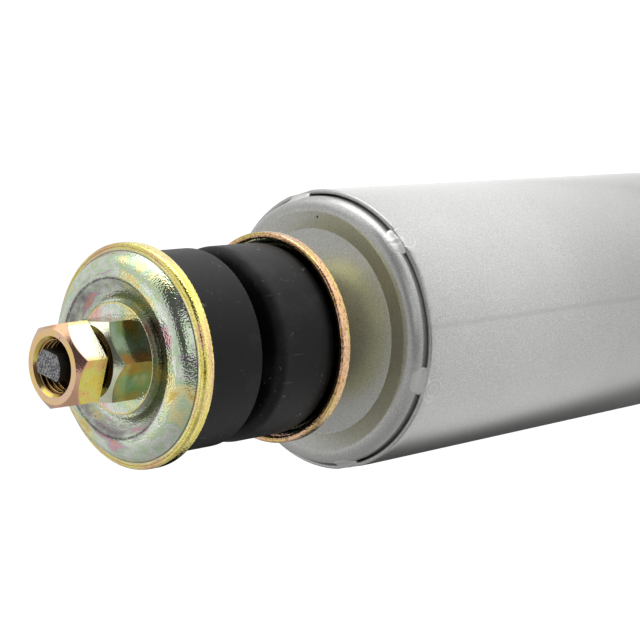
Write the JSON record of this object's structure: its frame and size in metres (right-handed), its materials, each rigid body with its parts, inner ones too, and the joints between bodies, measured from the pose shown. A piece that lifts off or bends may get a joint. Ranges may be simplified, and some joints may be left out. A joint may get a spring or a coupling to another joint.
{
  "type": "shock absorber",
  "caption": "Telescopic twin-tube damper: a rubber-bushed threaded stem and dust tube above, a rubber-bushed eye below, and a sprung rod that slides and turns.",
  "frame": {"origin": "centre of the lower eye's bore", "axes": "+Z along the damper's axis towards the threaded stem, +Y along the lower eye's bore"},
  "size_m": [0.0672, 0.0672, 0.6501],
  "materials": {
    "zinc": "yellow passivated zinc plate, glossy",
    "rubber": "matt black rubber",
    "silver_paint": "silver metallic paint",
    "chrome": "ground hard chrome",
    "plain_steel": "bright steel",
    "sintered_iron": "sintered iron",
    "bronze": "bronze-backed bush",
    "slide_polymer": "filled polymer",
    "stop_polymer": "moulded polymer"
  },
  "bodies": {
    "mount_sleeve": {"eye_sleeve": "plain_steel"},
    "damper_body": {"eye_bush": "rubber", "eye_ring": "silver_paint", "eye_weld": "silver_paint", "base_cup": "silver_paint", "base_seam_weld": "silver_paint", "reserve_tube": "silver_paint", "pressure_tube": "plain_steel", "base_valve_body": "sintered_iron", "base_valve_pin": "plain_steel", "base_valve_discs": "plain_steel", "lower_valve_washer": "plain_steel", "base_check_spring": "plain_steel", "rod_guide": "sintered_iron", "guide_bush": "bronze", "guide_o_ring": "rubber", "rod_seal": "rubber", "seal_spring": "plain_steel", "retaining_washer": "plain_steel"},
    "base_plate": {"base_check_plate": "plain_steel"},
    "band": {"piston_band": "slide_polymer"},
    "rod": {"piston_rod": "chrome", "piston": "sintered_iron", "piston_nut": "plain_steel", "backing_washer": "plain_steel", "rebound_valve_discs": "plain_steel", "piston_check_spring": "plain_steel", "spring_seat": "plain_steel", "rebound_stop": "plain_steel", "rebound_bumper": "stop_polymer", "cap_weld": "plain_steel", "dust_cap": "silver_paint", "dust_tube": "silver_paint", "tack_welds": "silver_paint", "inner_cup_washer": "zinc", "inner_bushing": "rubber", "outer_bushing": "rubber", "outer_cup_washer": "zinc", "plain_washer": "zinc", "jam_nut": "zinc", "outer_nut": "zinc"},
    "piston_plate": {"piston_check_plate": "plain_steel"}
  },
  "joints": [
    {"name": "lower_eye_twist", "type": "hinge", "parent": "mount_sleeve", "child": "damper_body", "pos_m": [0, 0, 0], "axis": [0, 1, 0], "range_deg": [-15, 15], "stiffness_Nm_per_rad": 100},
    {"name": "rod_slide", "type": "slide", "parent": "damper_body", "child": "band", "axis": [0, 0, 1], "range_m": [-0.2, 0], "stiffness_N_per_m": 250, "springref_m": 0.6},
    {"name": "rod_spin", "type": "hinge", "parent": "band", "child": "rod", "pos_m": [0, 0, 0.2791], "axis": [0, 0, 1], "continuous": true},
    {"name": "piston_plate_lift", "type": "slide", "parent": "rod", "child": "piston_plate", "axis": [0, 0, 1], "range_m": [0, 0.0012], "stiffness_N_per_m": 1500, "springref_m": -0.001, "deforming": ["piston_check_spring"]},
    {"name": "base_plate_lift", "type": "slide", "parent": "damper_body", "child": "base_plate", "axis": [0, 0, 1], "range_m": [0, 0.0012], "stiffness_N_per_m": 1500, "springref_m": -0.001, "deforming": ["base_check_spring"]}
  ]
}
